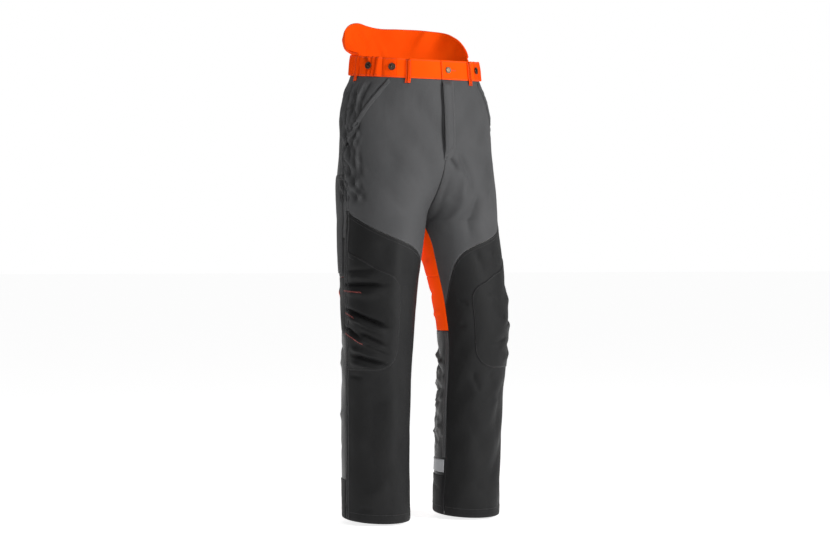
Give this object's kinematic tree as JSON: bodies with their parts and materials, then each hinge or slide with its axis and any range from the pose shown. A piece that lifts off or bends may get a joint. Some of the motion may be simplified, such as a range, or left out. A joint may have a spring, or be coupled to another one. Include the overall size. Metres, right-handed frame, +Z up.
{
  "type": "chainsaw protective trousers",
  "caption": "Waist-worn protective work trousers with an elastic orange waistband, raised kidney guard, grey hips and layered black fronts over saw pads.",
  "frame": {"origin": "centre of the waist opening at the waistband's top edge", "axes": "+Z up out of the waist opening, -Y towards the wearer's front, -X towards the wearer's right"},
  "size_m": [0.433, 0.2776, 1.1884],
  "materials": {
    "black": "abrasion-resistant weave, matt",
    "charcoal": "stretch weave, matt",
    "dark_metal": "dark bronze plating",
    "grey": "woven polyester and cotton, matt",
    "lining": "smooth polyester lining",
    "orange": "woven polyester, matt",
    "pad": "loose knitted saw-stopping fibre",
    "plastic": "moulded plastic teeth on tape",
    "silver_tape": "retroreflective tape",
    "steel": "nickel-plated brass and steel"
  },
  "bodies": {
    "hips": {"back_pocket": "grey", "belt_loop_back": "orange", "belt_loop_back_left": "orange", "belt_loop_back_right": "orange", "belt_loop_front_left": "orange", "belt_loop_front_right": "orange", "belt_loop_side_left": "orange", "belt_loop_side_right": "orange", "brace_button_back_left": "dark_metal", "brace_button_back_right": "dark_metal", "brace_button_left_front": "dark_metal", "brace_button_left_side": "dark_metal", "brace_button_right_front": "dark_metal", "brace_button_right_side": "dark_metal", "fly_flap": "grey", "fly_shield": "grey", "fly_zip": "plastic", "front_hip_left": "grey", "front_hip_right": "grey", "kidney_guard": "orange", "lining_hip_left": "lining", "lining_hip_right": "lining", "pocket_bag_left": "lining", "pocket_bag_right": "lining", "pocket_snap_stud": "dark_metal", "seat_left": "grey", "seat_right": "grey", "waist_button": "steel", "waistband_back": "orange", "waistband_left_front": "orange", "waistband_left_side": "orange", "waistband_right_front": "orange", "waistband_right_side": "orange"},
    "thigh_right": {"back_thigh_right": "orange", "front_thigh_right": "black", "lining_thigh_right": "lining", "saw_pad_thigh_right": "pad", "rule_pocket": "grey"},
    "shin_right": {"back_shin_right": "charcoal", "front_shin_right": "black", "lining_shin_right": "lining", "saw_pad_shin_right": "pad", "reflective_band_right": "silver_tape", "heel_guard_right": "black"},
    "thigh_left": {"back_thigh_left": "orange", "front_thigh_left": "black", "lining_thigh_left": "lining", "saw_pad_thigh_left": "pad"},
    "shin_left": {"back_shin_left": "charcoal", "front_shin_left": "black", "lining_shin_left": "lining", "saw_pad_shin_left": "pad", "reflective_band_left": "silver_tape", "heel_guard_left": "black"},
    "fly_slider": {"fly_slider": "steel"},
    "fly_pull": {"fly_pull": "steel"},
    "back_pocket_flap": {"back_pocket_flap": "grey", "pocket_snap_cap": "dark_metal"}
  },
  "joints": [
    {"name": "hip_right", "type": "hinge", "parent": "hips", "child": "thigh_right", "pos_m": [-0.11, -0.01, -0.24], "axis": [-1, 0, 0], "range_deg": [-10, 45], "stiffness_Nm_per_rad": 1.5},
    {"name": "knee_right", "type": "hinge", "parent": "thigh_right", "child": "shin_right", "pos_m": [-0.11, -0.045, -0.63], "axis": [1, 0, 0], "range_deg": [0, 60], "stiffness_Nm_per_rad": 0.8},
    {"name": "hip_left", "type": "hinge", "parent": "hips", "child": "thigh_left", "pos_m": [0.11, -0.01, -0.24], "axis": [-1, 0, 0], "range_deg": [-10, 45], "stiffness_Nm_per_rad": 1.5},
    {"name": "knee_left", "type": "hinge", "parent": "thigh_left", "child": "shin_left", "pos_m": [0.11, -0.045, -0.63], "axis": [1, 0, 0], "range_deg": [0, 60], "stiffness_Nm_per_rad": 0.8},
    {"name": "zip_slide", "type": "slide", "parent": "hips", "child": "fly_slider", "axis": [0, -0.0722, -0.9974], "range_m": [0, 0.118]},
    {"name": "zip_pull_hinge", "type": "hinge", "parent": "fly_slider", "child": "fly_pull", "pos_m": [0.01226, -0.12903, -0.07252], "axis": [-1, 0, 0], "range_deg": [0, 8]},
    {"name": "back_pocket_flap_hinge", "type": "hinge", "parent": "hips", "child": "back_pocket_flap", "pos_m": [-0.10019, 0.10919, -0.08906], "axis": [0.8933, 0.4486, 0.0276], "range_deg": [0, 70]}
  ]
}
